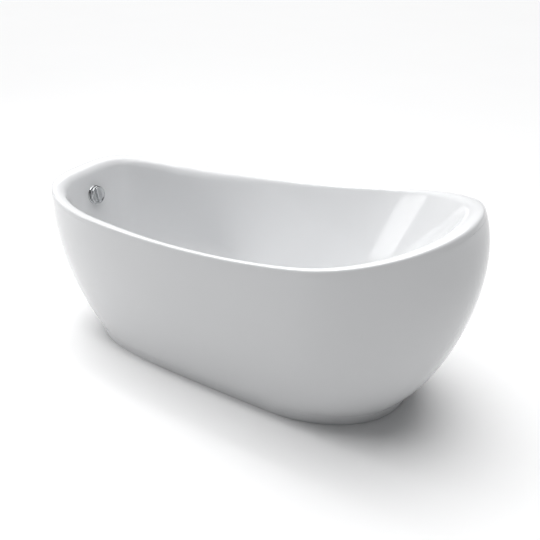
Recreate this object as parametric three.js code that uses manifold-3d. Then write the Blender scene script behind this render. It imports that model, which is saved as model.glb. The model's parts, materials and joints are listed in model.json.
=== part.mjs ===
// A freestanding slipper bathtub: a double skin of acrylic on a steel frame with levelling feet,
// with a rotary overflow control that lifts the drain plug. Millimetres, +Z up, +X towards the
// high head end, origin on the floor under the middle of the tub.

import * as THREE from 'three';
import { LoftGeometry } from 'three/addons/geometries/LoftGeometry.js';
import { mergeVertices } from 'three/addons/utils/BufferGeometryUtils.js';
import Module from 'manifold-3d';

const wasm = await Module();
wasm.setup();

// ---- driving dimensions ----

const GAP = 0.3; // between pieces that touch
const COLUMNS = 44; // steps round the tub in its big shells
const ROUND_STEPS = 16; // sides of a round fitting

const LENGTH = 1700;
const WIDTH = 744;
const HALF = LENGTH / 2;
const RIM_WIDEST_X = 339; // the plan is an egg, widest towards the head
const RIM_SQUARE = { drain: 3.46, head: 2.19 }; // superellipse exponents of the plan
const RIM_LOW = { x: -508, z: 593 };
const RIM_END = { drainZ: 628, drainPower: 1.94, headZ: 777, headPower: 2.95 };

const MIDDLE_X = 11.9; // from the rim's middle to the whole tub's middle

const PLINTH = { drainX: -638, headX: 699, halfWidth: 330, widestX: 195, drain: 4.49, head: 2.31 };
const PLINTH_TOP = 38;
const PLINTH_INSET = 3;
const SKIRT_WALL = 5;
const SKIRT_FLARE = { drain: [0.676, 0.211], head: [1.038, 0.242] }; // leaves the plinth along this
const SKIRT_BULGE = { drain: [0.202, 0.522], head: [0.599, 0.229], side: [0.167, 0.434] };
const SKIRT_STEPS = 7;

const BASIN_WALL = 6;
const LIP_ROUND = 9; // outer rounding of the rim
const LIP_FACE = 10; // the rim's turned-down outer face, below the rounding
const TONGUE = { inset: 7.6, low: -6, high: 7 }; // the skirt's joggled top edge, inside the lip
const ROLL = { side: 45, drain: 48, head: 60 }; // radius from the rim down into the wall
const HEEL = { side: 120, drain: 180, head: 280 }; // radius from the wall into the floor
const FLOOR = { drainX: -575, headX: 260, halfWidth: 172, widestX: -150, square: 3 };
const FLOOR_Z = 118; // at the drain
const FALL = 0.011; // the floor's slope down to the drain
const ARC_STEPS = 4;

const DRAIN_X = -430;
const DRAIN_HOLE = 27;
const DISH = { floorR: 38, edgeR: 46, depth: 4 };

const OVERFLOW_Z = 503;
const OVERFLOW_HOLE = 26;

const BOARD = { x0: -560, x1: 232, halfWidth: 155, thick: 18, notch: 56, notchX: -370, corner: 40 };
const RAIL = { x0: -545, x1: 430, y: 130, wide: 25, high: 30, wall: 1.5 };
const CROSS = { xs: [-520, -20, 380], halfLength: 222, wide: 40, high: 30, wall: 1.5 };
const RAIL_SCREW_XS = [-330, -150, 160];
const FOOT = { y: 200, studR: 6, padR: 24, padHigh: 14, nutHigh: 8, nutAcross: 19 };
const BRACKET = { thick: 3, wide: 40, bend: 6, low: 12 };

// ---- shapes shared by many pieces ----

const lerp = THREE.MathUtils.lerp;
const tub = new THREE.Group();

function signedVolume(geometry) {
  const flat = geometry.index ? geometry.toNonIndexed() : geometry;
  const points = flat.getAttribute('position');
  const [a, b, c] = [new THREE.Vector3(), new THREE.Vector3(), new THREE.Vector3()];
  let six = 0;
  for (let i = 0; i < points.count; i += 3) {
    a.fromBufferAttribute(points, i);
    b.fromBufferAttribute(points, i + 1);
    c.fromBufferAttribute(points, i + 2);
    six += a.dot(b.cross(c));
  }
  return six / 6;
}

// Turns a closed geometry's faces so that they point out.
function facingOut(geometry) {
  if (signedVolume(geometry) < 0) {
    const index = geometry.index.array;
    for (let i = 0; i < index.length; i += 3) [index[i], index[i + 1]] = [index[i + 1], index[i]];
  }
  geometry.computeVertexNormals();
  return geometry;
}

// A closed geometry as a manifold solid, with its seams and poles welded.
function solidOf(geometry) {
  const bare = new THREE.BufferGeometry();
  bare.setAttribute('position', geometry.getAttribute('position'));
  bare.setIndex(geometry.index);
  const merged = mergeVertices(bare, 1e-3);
  const index = merged.index.array;
  const corners = [];
  for (let i = 0; i < index.length; i += 3) {
    const [a, b, c] = [index[i], index[i + 1], index[i + 2]];
    if (a !== b && b !== c && c !== a) corners.push(a, b, c);
  }
  const vertProperties = new Float32Array(merged.getAttribute('position').array);
  const triVerts = new Uint32Array(corners);
  return new wasm.Manifold(new wasm.Mesh({ numProp: 3, vertProperties, triVerts }));
}

function geometryOf(solid) {
  const mesh = solid.getMesh();
  const geometry = new THREE.BufferGeometry();
  geometry.setAttribute('position', new THREE.BufferAttribute(mesh.vertProperties.slice(), 3));
  geometry.setIndex(new THREE.BufferAttribute(mesh.triVerts.slice(), 1));
  geometry.computeVertexNormals();
  return geometry;
}

function cut(geometry, ...tools) {
  return geometryOf(tools.reduce((solid, tool) => solid.subtract(solidOf(tool)), solidOf(geometry)));
}

function join(geometry, ...others) {
  return geometryOf(others.reduce((solid, other) => solid.add(solidOf(other)), solidOf(geometry)));
}

// A turned piece round Z, from a profile of [radius, z]. A profile off the axis closes on itself.
function turned(profile, steps = ROUND_STEPS) {
  const points = profile.map(([radius, z]) => new THREE.Vector2(radius, z));
  if (profile[0][0] > 0) points.push(points[0].clone());
  return facingOut(new THREE.LatheGeometry(points, steps).rotateX(Math.PI / 2));
}

function disc(radius, z0, z1, steps = ROUND_STEPS) {
  return turned([[0, z0], [radius, z0], [radius, z1], [0, z1]], steps);
}

function washer(outer, inner, z0, z1, steps = ROUND_STEPS) {
  return turned([[inner, z0], [outer, z0], [outer, z1], [inner, z1]], steps);
}

// A block between two planes along each axis.
function slab(x0, x1, y0, y1, z0, z1) {
  return new THREE.BoxGeometry(x1 - x0, y1 - y0, z1 - z0)
    .translate((x0 + x1) / 2, (y0 + y1) / 2, (z0 + z1) / 2);
}

function hexNut(across, bore, height) {
  const shape = new THREE.Shape();
  for (let i = 0; i < 6; i += 1) {
    const angle = (i + 0.5) * Math.PI / 3;
    const reach = across / Math.sqrt(3);
    const corner = [reach * Math.cos(angle), reach * Math.sin(angle)];
    if (i === 0) shape.moveTo(...corner);
    else shape.lineTo(...corner);
  }
  shape.holes.push(new THREE.Path().absarc(0, 0, bore, 0, 2 * Math.PI, true));
  return new THREE.ExtrudeGeometry(shape, { depth: height, bevelEnabled: false, curveSegments: 8 });
}

function boxTube(wide, high, wall, length) {
  const shape = rectangle(wide, high);
  shape.holes.push(rectangle(wide - 2 * wall, high - 2 * wall));
  return new THREE.ExtrudeGeometry(shape, { depth: length, bevelEnabled: false });
}

function rectangle(wide, high) {
  const shape = new THREE.Shape();
  shape.moveTo(-wide / 2, -high / 2);
  shape.lineTo(wide / 2, -high / 2);
  shape.lineTo(wide / 2, high / 2);
  shape.lineTo(-wide / 2, high / 2);
  shape.closePath();
  return shape;
}

// A pipe of round section along smooth points; inner 0 makes it solid.
function pipe(points, outer, inner, sides, steps) {
  const shape = new THREE.Shape().absarc(0, 0, outer, 0, 2 * Math.PI);
  if (inner > 0) shape.holes.push(new THREE.Path().absarc(0, 0, inner, 0, 2 * Math.PI, true));
  const extrudePath = new THREE.CatmullRomCurve3(points.map((p) => new THREE.Vector3(...p)));
  return new THREE.ExtrudeGeometry(shape, { steps, extrudePath, curveSegments: sides });
}

const FINISH = {
  acrylic: { color: 0xf2f3f4, roughness: 0.12, metalness: 0 },
  adhesive: { color: 0xe6e6e0, roughness: 0.6, metalness: 0 },
  board: { color: 0xb98f5c, roughness: 0.8, metalness: 0 },
  galvanised: { color: 0xa9adb0, roughness: 0.45, metalness: 1 },
  zinc: { color: 0xc4c7c9, roughness: 0.3, metalness: 1 },
  chrome: { color: 0xdfe2e5, roughness: 0.05, metalness: 1 },
  rubber: { color: 0x1c1c1d, roughness: 0.75, metalness: 0 },
  plastic: { color: 0x6d7073, roughness: 0.5, metalness: 0 },
  pvc: { color: 0xe9e9e6, roughness: 0.4, metalness: 0 },
};

function add(parent, name, finish, geometry) {
  const mesh = new THREE.Mesh(geometry, new THREE.MeshStandardMaterial(FINISH[finish]));
  mesh.name = name;
  parent.add(mesh);
}

// ---- the tub's surfaces ----

// Signed power: the superellipse's cosine and sine.
function squared(value, power) {
  return Math.sign(value) * Math.abs(value) ** (2 / power);
}

function endBlend(angle, sharpness) {
  return 0.5 + 0.5 * Math.tanh(Math.cos(angle) / sharpness);
}

// A closed egg in plan: a superellipse whose exponent and half length differ at its two ends.
function egg(angle, drainX, headX, widestX, halfWidth, drainPower, headPower) {
  const power = lerp(drainPower, headPower, endBlend(angle, 0.35));
  const along = squared(Math.cos(angle), power);
  const reach = along > 0 ? headX - widestX : widestX - drainX;
  return new THREE.Vector2(widestX + reach * along, halfWidth * squared(Math.sin(angle), power));
}

function rimPlan(angle) {
  return egg(angle, -HALF, HALF, RIM_WIDEST_X, WIDTH / 2, RIM_SQUARE.drain, RIM_SQUARE.head);
}

function plinthPlan(angle) {
  const { drainX, headX, widestX, halfWidth, drain, head } = PLINTH;
  return egg(angle, drainX, headX, widestX, halfWidth, drain, head);
}

function floorPlan(angle) {
  const { drainX, headX, widestX, halfWidth, square } = FLOOR;
  return egg(angle, drainX, headX, widestX, halfWidth, square, square);
}

function rimHeight(x) {
  const toHead = Math.max(0, (x - RIM_LOW.x) / (HALF - RIM_LOW.x));
  const toDrain = Math.max(0, (RIM_LOW.x - x) / (HALF + RIM_LOW.x));
  return RIM_LOW.z + (RIM_END.headZ - RIM_LOW.z) * toHead ** RIM_END.headPower
    + (RIM_END.drainZ - RIM_LOW.z) * toDrain ** RIM_END.drainPower;
}

function floorHeight(x) {
  return FLOOR_Z + FALL * (x - DRAIN_X);
}

// Angles that step evenly along the rim, with a flat facet, not an edge, across each end.
class RimLine extends THREE.Curve {
  getPoint(share) {
    const plan = rimPlan(share * 2 * Math.PI);
    return new THREE.Vector3(plan.x, plan.y, rimHeight(plan.x));
  }
}

const rimLine = new RimLine();
rimLine.arcLengthDivisions = 2000;
const ANGLES = Array.from({ length: COLUMNS }, (_, i) => {
  const share = rimLine.getUtoTmapping((i + 0.5) / COLUMNS);
  return share * 2 * Math.PI;
});

// The outer skin from the plinth's top, step 0, to the start of the rim's rounding, step 1.
function outerSkin(angle, step) {
  const foot = plinthPlan(angle);
  const rim = rimPlan(angle);
  const head = endBlend(angle, 0.5);
  const side = Math.sin(angle) ** 2;
  const mixed = (pair) => [0, 1].map((i) => lerp(pair.drain[i], pair.head[i], head));
  const [flareOut, flareUp] = mixed(SKIRT_FLARE);
  const [bulgeOut, bulgeDown] = mixed(SKIRT_BULGE).map((v, i) => lerp(v, SKIRT_BULGE.side[i], side));
  const rest = 1 - step;
  const near = 3 * rest * rest * step;
  const far = 3 * rest * step * step;
  const out = near * flareOut + far * (1 + bulgeOut) + step ** 3;
  const up = near * flareUp + far * (1 - bulgeDown) + step ** 3;
  const plan = foot.lerp(rim, out);
  const top = rimHeight(rim.x) - LIP_ROUND;
  return new THREE.Vector3(plan.x, plan.y, lerp(PLINTH_TOP, top, up));
}

// The step at which the outer skin is a given depth below the start of the rounding.
function stepAtDepth(angle, depth) {
  const wanted = outerSkin(angle, 1).z - depth;
  let [low, high] = [0.5, 1];
  for (let i = 0; i < 30; i += 1) {
    const middle = (low + high) / 2;
    if (outerSkin(angle, middle).z < wanted) low = middle;
    else high = middle;
  }
  return low;
}

function rimNormal(angle) {
  const small = 1e-3;
  const along = rimPlan(angle + small).sub(rimPlan(angle - small)).normalize();
  return new THREE.Vector3(along.y, -along.x, 0);
}

function bySide(values, angle) {
  const lean = Math.cos(angle);
  const end = Math.abs(lean) ** 1.5;
  return lerp(values.side, lean > 0 ? values.head : values.drain, end);
}

// The rim's rounding: its start, the corner that it rounds, and the crown.
function lipPoints(angle) {
  const start = outerSkin(angle, 1);
  const slope = start.clone().sub(outerSkin(angle, 0.995));
  const corner = start.clone().addScaledVector(slope, LIP_ROUND / slope.z);
  const crown = corner.clone().addScaledVector(rimNormal(angle), -LIP_ROUND);
  return [start, corner, crown];
}

// The inner wall's section: a roll from the crown, a straight wall and a heel into the floor.
function innerSection(angle) {
  const crown = lipPoints(angle)[2];
  const foot = floorPlan(angle);
  const floorZ = floorHeight(foot.x);
  const inward = new THREE.Vector3(foot.x - crown.x, foot.y - crown.y, 0);
  const run = inward.length();
  inward.normalize();
  const roll = bySide(ROLL, angle);
  const heel = bySide(HEEL, angle);
  const drop = crown.z - roll - floorZ - heel;
  const steep = Math.atan2(drop, run) + Math.asin((roll + heel) / Math.hypot(run, drop));
  return { crown, inward, run, roll, heel, floorZ, steep };
}

function innerPoint(section, out, z) {
  return section.crown.clone().setZ(z).addScaledVector(section.inward, out);
}

function rollPoint(section, share) {
  const turn = section.steep * share;
  const { crown, roll } = section;
  return innerPoint(section, roll * Math.sin(turn), crown.z - roll * (1 - Math.cos(turn)));
}

function heelPoint(section, share) {
  const turn = section.steep * (1 - share);
  const { run, heel, floorZ } = section;
  return innerPoint(section, run - heel * Math.sin(turn), floorZ + heel * (1 - Math.cos(turn)));
}

function drainCircle(radius, z) {
  return ANGLES.map((a) => new THREE.Vector3(DRAIN_X + radius * Math.cos(a), radius * Math.sin(a), z));
}

// ---- the two skins and the bead that bonds them ----

// Gives an open skin of rings its thickness, on the side away from its normals.
function offsetRings(rings, distance) {
  const normals = new LoftGeometry(rings).getAttribute('normal');
  const stride = rings[0].length + 1;
  return rings.map((ring, i) => ring.map((point, j) => {
    const normal = new THREE.Vector3().fromBufferAttribute(normals, i * stride + j);
    return point.clone().addScaledVector(normal, -distance);
  }));
}

function closedLoft(rings) {
  return facingOut(new LoftGeometry([...rings, rings[0]]));
}

function thicken(rings, wall) {
  return closedLoft([...rings, ...offsetRings(rings, wall).reverse()]);
}

// The basin's seen surface, from the lip's lower edge over the rim and down to the drain.
function basinRings() {
  const sections = ANGLES.map(innerSection);
  const rings = [ANGLES.map((a) => outerSkin(a, stepAtDepth(a, LIP_FACE)))];
  for (const share of [0, 0.35, 0.7]) {
    rings.push(ANGLES.map((a) => {
      const [start, corner, crown] = lipPoints(a);
      return new THREE.QuadraticBezierCurve3(start, corner, crown).getPoint(share);
    }));
  }
  for (let i = 0; i <= ARC_STEPS; i += 1) rings.push(sections.map((s) => rollPoint(s, i / ARC_STEPS)));
  for (let i = 0; i <= ARC_STEPS; i += 1) rings.push(sections.map((s) => heelPoint(s, i / ARC_STEPS)));
  const dishZ = FLOOR_Z - DISH.depth;
  const edge = drainCircle(DISH.edgeR, 0).map((p) => p.setZ(floorHeight(p.x)));
  rings.push(edge, drainCircle(DISH.floorR, dishZ), drainCircle(DRAIN_HOLE, dishZ));
  return rings;
}

// The skirt's seen surface: plinth, flared and bulging body, and the joggle under the lip.
function skirtRings() {
  const inset = 1 - PLINTH_INSET / PLINTH.halfWidth;
  const plinth = (z, shrink) => ANGLES.map((a) => {
    const plan = plinthPlan(a).multiplyScalar(shrink);
    return new THREE.Vector3(plan.x, plan.y, z);
  });
  const rings = [plinth(0, inset), plinth(PLINTH_TOP * 0.75, 1)];
  const tops = ANGLES.map((a) => stepAtDepth(a, LIP_FACE + GAP));
  for (let i = 1; i <= SKIRT_STEPS; i += 1) {
    rings.push(ANGLES.map((a, j) => outerSkin(a, tops[j] * i / SKIRT_STEPS)));
  }
  const tongue = (rise) => ANGLES.map((a) => {
    const skin = outerSkin(a, stepAtDepth(a, LIP_FACE + GAP - rise));
    return skin.addScaledVector(rimNormal(a), -TONGUE.inset);
  });
  rings.push(tongue(TONGUE.low), tongue(TONGUE.high));
  return rings;
}

// The bead sits on the skirt's top edge and reaches in and up to the underside of the lip.
function bondBead(basin, skirt) {
  const under = offsetRings(basin, BASIN_WALL + 2 * GAP);
  const inside = offsetRings(skirt, SKIRT_WALL);
  const [lipUnder, crownUnder, rollUnder] = [3, 4, 5].map((i) => under[i]);
  const [edgeOut, edgeIn] = [skirt, inside].map((rings) => rings[rings.length - 1]);
  const part = (from, to, share, rise) => from.map((p, j) => {
    const place = p.clone().lerp(to[j], share);
    return place.setZ(place.z + rise);
  });
  return closedLoft([part(edgeOut, edgeIn, 0.4, 2 * GAP), part(lipUnder, crownUnder, 0.5, -GAP),
    part(crownUnder, rollUnder, 0.7, -GAP), part(edgeOut, edgeIn, 1.05, 2 * GAP)]);
}

// The control's place on the drain-end wall: its local Z points out of the wall into the basin.
function overflowSeat() {
  const section = innerSection(ANGLES[COLUMNS / 2]);
  const { steep, roll } = section;
  const top = rollPoint(section, 1);
  const out = roll * Math.sin(steep) + (top.z - OVERFLOW_Z) / Math.tan(steep);
  const seat = new THREE.Group();
  seat.position.copy(innerPoint(section, out, OVERFLOW_Z)).setY(0);
  const facing = new THREE.Vector3(Math.sin(steep), 0, Math.cos(steep));
  const sideways = new THREE.Vector3(0, 1, 0);
  const upWall = facing.clone().cross(sideways);
  seat.quaternion.setFromRotationMatrix(new THREE.Matrix4().makeBasis(sideways, upWall, facing));
  seat.updateMatrixWorld(true);
  return seat;
}

const overflow = overflowSeat();
const basinSkin = basinRings();
const skirtSkin = skirtRings();
const overflowDrill = disc(OVERFLOW_HOLE, -30, 20).applyMatrix4(overflow.matrixWorld);
add(tub, 'basin', 'acrylic', cut(thicken(basinSkin, BASIN_WALL), overflowDrill));
add(tub, 'outer_skirt', 'acrylic', thicken(skirtSkin, SKIRT_WALL));
add(tub, 'rim_bond_bead', 'adhesive', bondBead(basinSkin, skirtSkin));

// ---- the undercarriage, which follows the floor's fall ----

const UNDER_FLOOR = floorHeight(0) - BASIN_WALL - 2 * GAP;
const RAIL_TOP = -BOARD.thick - GAP;
const CROSS_TOP = RAIL_TOP - RAIL.high - GAP;
const CROSS_LOW = CROSS_TOP - CROSS.high;
const frame = new THREE.Group();
frame.position.z = UNDER_FLOOR;
frame.rotation.y = -Math.atan(FALL);

const M5 = { shank: 2.5, hole: 3.2, headR: 5.5, head: 3.5 };

function panScrew(length) {
  const { shank, headR, head } = M5;
  const profile = [[0, -head], [headR * 0.7, -head], [headR, -head / 3], [headR, 0], [shank, 0]];
  return turned([...profile, [shank, length - 3], [0, length]], 12);
}

function baseBoard() {
  const { x0, x1, halfWidth, thick, notch, notchX, corner } = BOARD;
  const shape = new THREE.Shape();
  shape.moveTo(x0 + corner, -halfWidth);
  shape.lineTo(x1 - corner, -halfWidth);
  shape.absarc(x1 - corner, -halfWidth + corner, corner, -Math.PI / 2, 0);
  shape.absarc(x1 - corner, halfWidth - corner, corner, 0, Math.PI / 2);
  shape.lineTo(x0 + corner, halfWidth);
  shape.absarc(x0 + corner, halfWidth - corner, corner, Math.PI / 2, Math.PI);
  shape.lineTo(x0, notch);
  shape.absarc(notchX - notch, 0, notch, Math.PI / 2, -Math.PI / 2, true);
  shape.lineTo(x0, -notch);
  shape.absarc(x0 + corner, -halfWidth + corner, corner, Math.PI, 1.5 * Math.PI);
  const plate = new THREE.ExtrudeGeometry(shape, { depth: thick, bevelEnabled: false, curveSegments: 5 });
  return plate.translate(0, 0, -thick);
}

function screwPlaces() {
  return RAIL_SCREW_XS.flatMap((x) => [-1, 1].map((side) => [x, side * RAIL.y]));
}

const pilots = screwPlaces().map(([x, y]) => disc(M5.shank + GAP, RAIL_TOP - 5, -4, 10).translate(x, y, 0));
add(frame, 'base_board', 'board', cut(baseBoard(), ...pilots));

for (const [side, name] of [[-1, 'near'], [1, 'far']]) {
  const length = RAIL.x1 - RAIL.x0;
  const tube = boxTube(RAIL.high, RAIL.wide, RAIL.wall, length).rotateY(Math.PI / 2);
  tube.translate(RAIL.x0, side * RAIL.y, RAIL_TOP - RAIL.high / 2);
  const drills = RAIL_SCREW_XS.map((x) => disc(M5.hole, -60, 0, 10).translate(x, side * RAIL.y, 0));
  add(frame, `rail_${name}`, 'galvanised', cut(tube, ...drills));
}

screwPlaces().forEach(([x, y], i) => {
  const screw = panScrew(RAIL.high + 12);
  add(frame, `rail_screw_${i + 1}`, 'zinc', screw.translate(x, y, RAIL_TOP - RAIL.high - GAP));
});

// The place along the tilted frame where an upright stud at x passes the cross members' underside.
function alongFrame(x) {
  const { y } = frame.rotation;
  return (x - CROSS_LOW * Math.sin(y)) / Math.cos(y);
}

const BRACKET_SCREW_Y = CROSS.halfLength - 14;

CROSS.xs.forEach((x, i) => {
  const tube = boxTube(CROSS.wide, CROSS.high, CROSS.wall, 2 * CROSS.halfLength).rotateX(-Math.PI / 2);
  tube.translate(x, -CROSS.halfLength, CROSS_TOP - CROSS.high / 2);
  const drills = [];
  for (const side of i === 1 ? [] : [-1, 1]) {
    const studHole = disc(FOOT.studR + 1, CROSS_LOW - 5, CROSS_TOP - 5);
    const screwHole = disc(M5.hole, CROSS_TOP - 10, 5, 10);
    drills.push(studHole.translate(alongFrame(x), side * FOOT.y, 0));
    drills.push(screwHole.translate(x, side * BRACKET_SCREW_Y, 0));
  }
  add(frame, `cross_member_${i + 1}`, 'galvanised', drills.length ? cut(tube, ...drills) : tube);
});

// Half the plinth's inner width at a place along the tub.
function plinthInside(x) {
  let [low, high] = x > PLINTH.widestX ? [0, Math.PI / 2] : [Math.PI, Math.PI / 2];
  for (let i = 0; i < 40; i += 1) {
    const middle = (low + high) / 2;
    if (Math.abs(plinthPlan(middle).x - PLINTH.widestX) > Math.abs(x - PLINTH.widestX)) low = middle;
    else high = middle;
  }
  return plinthPlan(low).y - SKIRT_WALL - PLINTH_INSET;
}

// A bent strap from a cross member's end out to the skirt's foot, screwed down and bonded there.
function skirtBracket(x) {
  const { thick, wide, bend, low } = BRACKET;
  const reach = Math.min(plinthInside(x - wide / 2), plinthInside(x + wide / 2)) - 2.5;
  const top = CROSS_TOP + GAP + thick;
  const bottom = low - UNDER_FLOOR;
  const start = CROSS.halfLength - 30;
  const shape = new THREE.Shape();
  shape.moveTo(start, top - thick);
  shape.lineTo(reach - thick - bend, top - thick);
  shape.absarc(reach - thick - bend, top - thick - bend, bend, Math.PI / 2, 0, true);
  shape.lineTo(reach - thick, bottom);
  shape.lineTo(reach, bottom);
  shape.lineTo(reach, top - thick - bend);
  shape.absarc(reach - thick - bend, top - thick - bend, bend + thick, 0, Math.PI / 2);
  shape.lineTo(start, top);
  const strap = new THREE.ExtrudeGeometry(shape, { depth: wide, bevelEnabled: false, curveSegments: 3 });
  strap.rotateX(Math.PI / 2).rotateZ(Math.PI / 2).translate(x - wide / 2, 0, 0);
  return cut(strap, disc(M5.hole, top - 10, top + 5, 10).translate(x, BRACKET_SCREW_Y, 0));
}

let bracketNumber = 0;
for (const x of [CROSS.xs[0], CROSS.xs[2]]) {
  for (const side of [-1, 1]) {
    bracketNumber += 1;
    const strap = skirtBracket(x);
    if (side < 0) strap.translate(-x, 0, 0).rotateZ(Math.PI).translate(x, 0, 0);
    add(frame, `skirt_bracket_${bracketNumber}`, 'galvanised', strap);
    const screw = panScrew(12).rotateX(Math.PI);
    screw.translate(x, side * BRACKET_SCREW_Y, CROSS_TOP + 2 * GAP + BRACKET.thick);
    add(frame, `bracket_screw_${bracketNumber}`, 'zinc', screw);
  }
}
tub.add(frame);

// ---- four levelling feet ----

function crossUnderside(x) {
  return UNDER_FLOOR + CROSS_LOW / Math.cos(Math.atan(FALL)) + FALL * x;
}

let footNumber = 0;
for (const x of [CROSS.xs[0], CROSS.xs[2]]) {
  for (const side of [-1, 1]) {
    footNumber += 1;
    const foot = new THREE.Group();
    foot.position.set(x, side * FOOT.y, 0);
    const { studR, padR, padHigh, nutHigh, nutAcross } = FOOT;
    const beam = crossUnderside(x);
    const socket = studR + 2;
    const pad = turned([[0, 0], [padR, 0], [padR, 4], [padR - 5, 9], [socket + 2, padHigh],
      [socket, padHigh], [socket, 5], [0, 5]]);
    const stud = turned([[0, 5 + GAP], [socket - GAP, 5 + GAP], [socket - GAP, 10], [studR, 10],
      [studR, beam + 24], [studR - 1.5, beam + 25.5], [0, beam + 25.5]], 16);
    const nut = hexNut(nutAcross, studR + GAP, nutHigh).translate(0, 0, beam - nutHigh - 3 * GAP);
    add(foot, `foot_${footNumber}_pad`, 'rubber', pad);
    add(foot, `foot_${footNumber}_stud`, 'zinc', stud);
    add(foot, `foot_${footNumber}_lock_nut`, 'zinc', nut);
    tub.add(foot);
  }
}

// ---- the drain: flange, plug and waste body ----

const drain = new THREE.Group();
drain.position.set(DRAIN_X, 0, FLOOR_Z - DISH.depth);

const THROAT = { outer: 26, inner: 23, low: -30 };
const PIN = { radius: 3, guide: 6, low: -38 };
const WASTE = { outer: 32, flange: 42, low: -52, spigotZ: -32, spigotR: 12, spigotEnd: 56 };
const TAIL = { outer: 20, inner: 17, low: -100 };

function drainFlange() {
  const cup = turned([[THROAT.inner, THROAT.low], [THROAT.outer, THROAT.low], [THROAT.outer, 2.1],
    [36, 2.1], [37, 3], [36, 4], [30, 4.4], [THROAT.inner, 2.4]], 24);
  const hub = washer(PIN.guide, PIN.radius + GAP, -12, -3, 12);
  const spokes = [0, 1, 2].map((i) => slab(PIN.guide - 1.5, THROAT.inner + 1, -1.2, 1.2, -10, -4)
    .rotateZ(i * 2 * Math.PI / 3));
  return join(cup, hub, ...spokes);
}

function wasteBody() {
  const { outer, flange, low, spigotZ, spigotR, spigotEnd } = WASTE;
  const shell = disc(outer, low, -10, 24);
  const brim = disc(flange, -15, -10, 24);
  const spigot = disc(spigotR, outer - 4, spigotEnd, 16).rotateY(-Math.PI / 2).translate(0, 0, spigotZ);
  const well = disc(THROAT.outer + 0.5, low + 4, -5, 24);
  const way = disc(spigotR - 3, THROAT.outer - 4, spigotEnd + 5, 16)
    .rotateY(-Math.PI / 2).translate(0, 0, spigotZ);
  const outlet = disc(TAIL.outer + GAP, low - 5, low + 10, 24);
  return cut(join(shell, brim, spigot), well, way, outlet);
}

add(drain, 'drain_top_gasket', 'rubber', washer(36, DRAIN_HOLE, GAP, 1.8, 24));
add(drain, 'drain_flange', 'chrome', drainFlange());
add(drain, 'drain_under_gasket', 'rubber', washer(41, DRAIN_HOLE + 1, -9.7, -BASIN_WALL - GAP, 24));
add(drain, 'waste_body', 'plastic', wasteBody());
add(drain, 'tailpiece', 'plastic', washer(TAIL.outer, TAIL.inner, TAIL.low, WASTE.low + 3.4, 24));
add(drain, 'tailpiece_nut', 'plastic', turned([[TAIL.outer + 2 * GAP, WASTE.low - 14],
  [27, WASTE.low - 14], [28, WASTE.low - 11], [28, WASTE.low - GAP],
  [TAIL.outer + 2 * GAP, WASTE.low - GAP]], 20));
add(drain, 'plug_seal', 'rubber', turned([[PIN.radius + GAP, 4.9], [28, 4.9], [28.6, 6], [28, 7.1],
  [PIN.radius + GAP, 7.1]], 24));
add(drain, 'drain_plug', 'chrome', turned([[PIN.radius + GAP, 7.4], [30.5, 7.4], [32, 8.6], [31, 10.4],
  [24, 12.6], [12, 14], [0, 14.3], [0, 11.3], [PIN.radius + GAP, 11.3]], 24));
add(drain, 'lift_pin', 'zinc', disc(PIN.radius, PIN.low, 11, 12));
tub.add(drain);

// ---- the overflow and its rotary control ----

const BEZEL = { outer: 41, throat: 25, bore: 22, front: 5, back: -26 };
const SPINDLE_R = 4;
const CUP = { outer: 35, inner: 30, back: -45, floor: -41, spoutR: 12, spoutZ: -30, spoutEnd: 62 };
const LEVER = { reach: 19, z0: -51, z1: -47 };

function bezel() {
  const { outer, throat, bore, front, back } = BEZEL;
  return turned([[bore, back], [throat, back], [throat, 2 * GAP], [outer, 2 * GAP], [outer, 2.4],
    [outer - 1, front - 1], [outer - 3, front], [bore + 3, front], [bore, front - 2]], 28);
}

function knob() {
  const body = turned([[0, 8], [33, 8], [37, 9], [38, 11], [38, 18], [37, 20], [34, 21],
    [30, 19.6], [0, 18.4]], 28);
  const bar = new THREE.Shape();
  bar.moveTo(-7, -33);
  bar.lineTo(7, -33);
  bar.lineTo(9, 33);
  bar.lineTo(-9, 33);
  bar.closePath();
  const grip = new THREE.ExtrudeGeometry(bar, {
    depth: 6, bevelEnabled: true, bevelThickness: 3, bevelSize: 2.5, bevelOffset: -2.5, bevelSegments: 1,
  });
  return cut(join(body, grip.translate(0, 0, 17)), disc(SPINDLE_R + GAP, 0, 14, 12));
}

function overflowBody() {
  const { outer, inner, back, floor, spoutR, spoutZ, spoutEnd } = CUP;
  const cup = disc(outer, back, -9.8, 28);
  const spout = disc(spoutR, 26, spoutEnd, 16).rotateX(Math.PI / 2).translate(0, 0, spoutZ);
  const well = disc(inner, floor, 0, 28);
  const way = disc(spoutR - 3, 20, spoutEnd + 8, 16).rotateX(Math.PI / 2).translate(0, 0, spoutZ);
  return cut(join(cup, spout), well, way, disc(SPINDLE_R + GAP, -60, 0, 12));
}

function cableLever() {
  const hub = disc(8, LEVER.z0, LEVER.z1, 14);
  const arm = slab(0, LEVER.reach, -4, 4, LEVER.z0, LEVER.z1);
  return cut(join(hub, arm), disc(SPINDLE_R + GAP, -60, 0, 12));
}

add(overflow, 'overflow_bezel', 'chrome', bezel());
add(overflow, 'overflow_knob', 'chrome', knob());
add(overflow, 'overflow_spindle', 'zinc', disc(SPINDLE_R, LEVER.z0 - 2, 13.6, 12));
add(overflow, 'overflow_gasket', 'rubber', washer(35, OVERFLOW_HOLE + 1, -9.4, -BASIN_WALL - 2 * GAP, 24));
add(overflow, 'overflow_body', 'plastic', overflowBody());
add(overflow, 'cable_lever', 'zinc', cableLever());
tub.add(overflow);

// ---- the hose and the cable from the overflow to the drain ----

const HOSE = { outer: 15, inner: 13 };
const SPIGOT_Z = drain.position.z + WASTE.spigotZ;
// The middle of the space between the basin's end and the skirt, from behind the wall to the floor.
const BEHIND_WALL = [[-797, 340], [-788, 298], [-777, 250], [-756, 200], [-715, 150], [-668, 110],
  [-610, 86]];

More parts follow.
